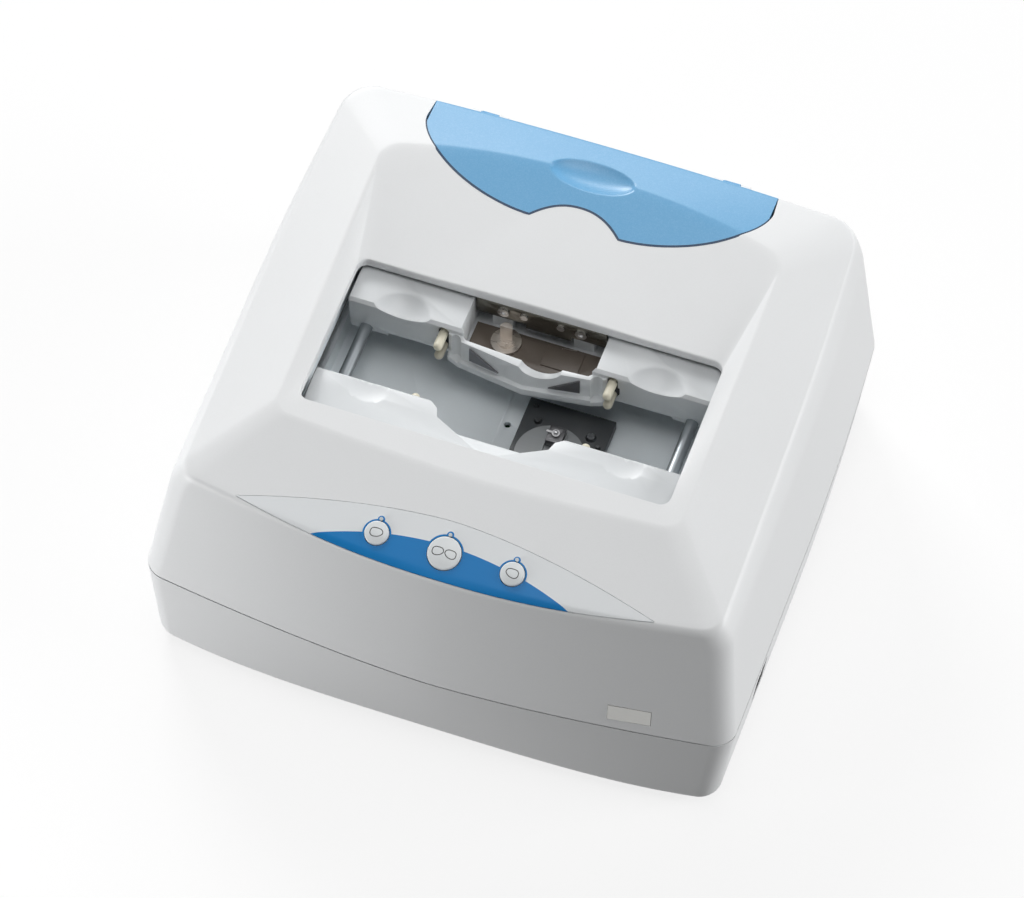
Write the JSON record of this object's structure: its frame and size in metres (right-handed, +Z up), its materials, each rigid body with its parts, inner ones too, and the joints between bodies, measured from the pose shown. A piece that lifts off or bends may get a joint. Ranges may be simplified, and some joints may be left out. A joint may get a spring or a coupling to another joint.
{
  "type": "optician frame tracer",
  "caption": "White bench instrument with a sloping shoulder, an open well holding two clamping sliders and a stylus table, round front buttons and a blue rear lid.",
  "frame": {"origin": "middle of the footprint's bounding box at the bottom of the rubber feet", "axes": "+Z up, -Y towards the front with the buttons, +X to the user's right"},
  "size_m": [0.287, 0.2634, 0.1423],
  "materials": {
    "housing_white": "fine grained satin",
    "foot_rubber": "dull",
    "overlay_film": "smooth semi gloss",
    "circuit_board": "solder mask",
    "lamp_clear": "clear lens",
    "plate_silver": "satin",
    "button_white": "smooth",
    "lid_blue": "pearl speckle",
    "steel_pin": "ground",
    "box_grey": "plain",
    "deck_grey": "satin",
    "rod_chrome": "polished",
    "block_slate": "satin",
    "slider_white": "satin",
    "insert_grey": "satin",
    "bracket_steel": "brushed, warm",
    "screw_steel": "satin",
    "floor_bronze": "satin",
    "feeler_steel": "turned",
    "finger_ivory": "smooth",
    "pulley_slate": "moulded",
    "steel_wire": "plain",
    "drum_dark": "satin",
    "unit_dark": "satin black",
    "unit_screw": "dark",
    "table_grey": "turned",
    "stylus_block": "milled",
    "stylus_steel": "polished",
    "motor_black": "satin",
    "pulley_brass": "turned",
    "belt_rubber": "dull",
    "chip_black": "moulded",
    "psu_steel": "plated",
    "connector_black": "moulded",
    "port_metal": "plated",
    "rocker_black": "smooth"
  },
  "bodies": {
    "housing": {"base_tray": "housing_white", "rubber_feet": "foot_rubber", "upper_cover": "housing_white", "panel_overlay": "overlay_film", "panel_board": "circuit_board", "indicator_lenses": "lamp_clear", "blank_plate": "plate_silver", "hinge_brackets": "housing_white", "lid_hinge_pins": "steel_pin", "storage_box": "box_grey", "well_tub": "deck_grey", "slider_rods": "rod_chrome", "rod_blocks": "block_slate", "slider_wire": "steel_wire", "spring_drum": "drum_dark", "carriage_rails": "rod_chrome", "rail_blocks": "block_slate", "drive_motor": "motor_black", "drive_belt": "belt_rubber", "main_board": "circuit_board", "board_chips": "chip_black", "power_supply": "psu_steel", "power_inlet": "connector_black", "serial_port": "port_metal", "switch_bezel": "connector_black", "housing_screws": "screw_steel"},
    "lid": {"rear_lid": "lid_blue", "lid_knuckles": "lid_blue"},
    "left_button": {"button_left": "button_white"},
    "start_button": {"button_start": "button_white"},
    "right_button": {"button_right": "button_white"},
    "front_clamp": {"front_slider": "slider_white"},
    "rear_clamp": {"rear_slider": "slider_white", "insert_plates": "insert_grey", "template_bracket": "bracket_steel", "bracket_screws": "screw_steel", "template_floor": "floor_bronze"},
    "feeler": {"template_feeler": "feeler_steel"},
    "front_upper": {"front_upper_fingers": "finger_ivory"},
    "front_lower": {"front_lower_fingers": "finger_ivory"},
    "rear_upper": {"rear_upper_fingers": "finger_ivory"},
    "rear_lower": {"rear_lower_fingers": "finger_ivory"},
    "front_wheel": {"front_pulley": "pulley_slate"},
    "rear_wheel": {"rear_pulley": "pulley_slate"},
    "unit": {"unit_carriage": "block_slate", "unit_cover": "unit_dark", "unit_screws": "unit_screw", "table_motor": "motor_black", "table_belt": "belt_rubber"},
    "table": {"turntable": "table_grey"},
    "stylus_block": {"stylus_carriage": "stylus_block"},
    "stylus": {"stylus_shaft": "stylus_steel"},
    "table_spindle": {"table_pulley": "pulley_brass"},
    "motor_wheel": {"motor_pulley": "pulley_brass"},
    "idler_wheel": {"idler_pulley": "pulley_brass"},
    "rocker": {"power_switch": "rocker_black"}
  },
  "joints": [
    {"name": "lid_hinge", "type": "hinge", "parent": "housing", "child": "lid", "pos_m": [0, 0.1272, 0.1288], "axis": [-1, 0, 0], "range_deg": [0, 75]},
    {"name": "left_button_press", "type": "slide", "parent": "housing", "child": "left_button", "axis": [0, 0.3204, -0.9473], "range_m": [0, 0.0007], "stiffness_N_per_m": 400},
    {"name": "start_button_press", "type": "slide", "parent": "housing", "child": "start_button", "axis": [0, 0.3204, -0.9473], "range_m": [0, 0.0007], "stiffness_N_per_m": 400},
    {"name": "right_button_press", "type": "slide", "parent": "housing", "child": "right_button", "axis": [0, 0.3204, -0.9473], "range_m": [0, 0.0007], "stiffness_N_per_m": 400},
    {"name": "front_clamp_slide", "type": "slide", "parent": "housing", "child": "front_clamp", "axis": [0, 1, 0], "range_m": [-0.014, 0.009]},
    {"name": "rear_clamp_slide", "type": "slide", "parent": "housing", "child": "rear_clamp", "axis": [0, 1, 0], "range_m": [-0.009, 0.014]},
    {"name": "template_feeler_slide", "type": "slide", "parent": "rear_clamp", "child": "feeler", "axis": [0, 1, 0], "range_m": [-0.003, 0.002]},
    {"name": "front_upper_fingers_lift", "type": "slide", "parent": "front_clamp", "child": "front_upper", "axis": [0, 0, 1], "range_m": [0, 0.0023]},
    {"name": "front_lower_fingers_drop", "type": "slide", "parent": "front_clamp", "child": "front_lower", "axis": [0, 0, 1], "range_m": [-0.0023, 0]},
    {"name": "rear_upper_fingers_lift", "type": "slide", "parent": "rear_clamp", "child": "rear_upper", "axis": [0, 0, 1], "range_m": [0, 0.0023]},
    {"name": "rear_lower_fingers_drop", "type": "slide", "parent": "rear_clamp", "child": "rear_lower", "axis": [0, 0, 1], "range_m": [-0.0023, 0]},
    {"name": "front_wheel_turn", "type": "hinge", "parent": "housing", "child": "front_wheel", "pos_m": [-0.1, -0.07, 0.099], "axis": [0, 0, 1], "range_deg": [-170, 170]},
    {"name": "rear_wheel_turn", "type": "hinge", "parent": "housing", "child": "rear_wheel", "pos_m": [-0.1, 0.048, 0.099], "axis": [0, 0, 1], "range_deg": [-170, 170]},
    {"name": "unit_slide", "type": "slide", "parent": "housing", "child": "unit", "axis": [1, 0, 0], "range_m": [-0.047, 0]},
    {"name": "turntable_turn", "type": "hinge", "parent": "unit", "child": "table", "pos_m": [0.0215, -0.02, 0.088], "axis": [0, 0, 1], "continuous": true},
    {"name": "table_spindle_turn", "type": "hinge", "parent": "unit", "child": "table_spindle", "pos_m": [0.0215, -0.0305, 0.088], "axis": [0, 0, 1], "continuous": true},
    {"name": "stylus_radial", "type": "slide", "parent": "table", "child": "stylus_block", "axis": [0, 1, 0], "range_m": [-0.012, 0]},
    {"name": "stylus_lift", "type": "slide", "parent": "stylus_block", "child": "stylus", "axis": [0, 0, 1], "range_m": [0, 0.0025]},
    {"name": "motor_wheel_turn", "type": "hinge", "parent": "housing", "child": "motor_wheel", "pos_m": [0.0964, -0.071, 0.063], "axis": [0, 0, 1], "range_deg": [-5, 455]},
    {"name": "idler_wheel_turn", "type": "hinge", "parent": "housing", "child": "idler_wheel", "pos_m": [-0.0964, -0.071, 0.063], "axis": [0, 0, 1], "range_deg": [-5, 455]},
    {"name": "power_rocker", "type": "hinge", "parent": "housing", "child": "rocker", "pos_m": [0.13476, -0.066, 0.03], "axis": [0, 1, 0], "range_deg": [-6, 6]}
  ],
  "couplings": [
    {"joint": "rear_clamp_slide", "follows": "front_clamp_slide", "ratio": -1},
    {"joint": "front_wheel_turn", "follows": "front_clamp_slide", "rad_per_m": 200},
    {"joint": "rear_wheel_turn", "follows": "front_clamp_slide", "rad_per_m": 200},
    {"joint": "front_lower_fingers_drop", "follows": "front_upper_fingers_lift", "ratio": -1},
    {"joint": "rear_lower_fingers_drop", "follows": "rear_upper_fingers_lift", "ratio": -1},
    {"joint": "table_spindle_turn", "follows": "turntable_turn", "ratio": 2.4},
    {"joint": "motor_wheel_turn", "follows": "unit_slide", "rad_per_m": -166.67},
    {"joint": "idler_wheel_turn", "follows": "unit_slide", "rad_per_m": -166.67}
  ]
}
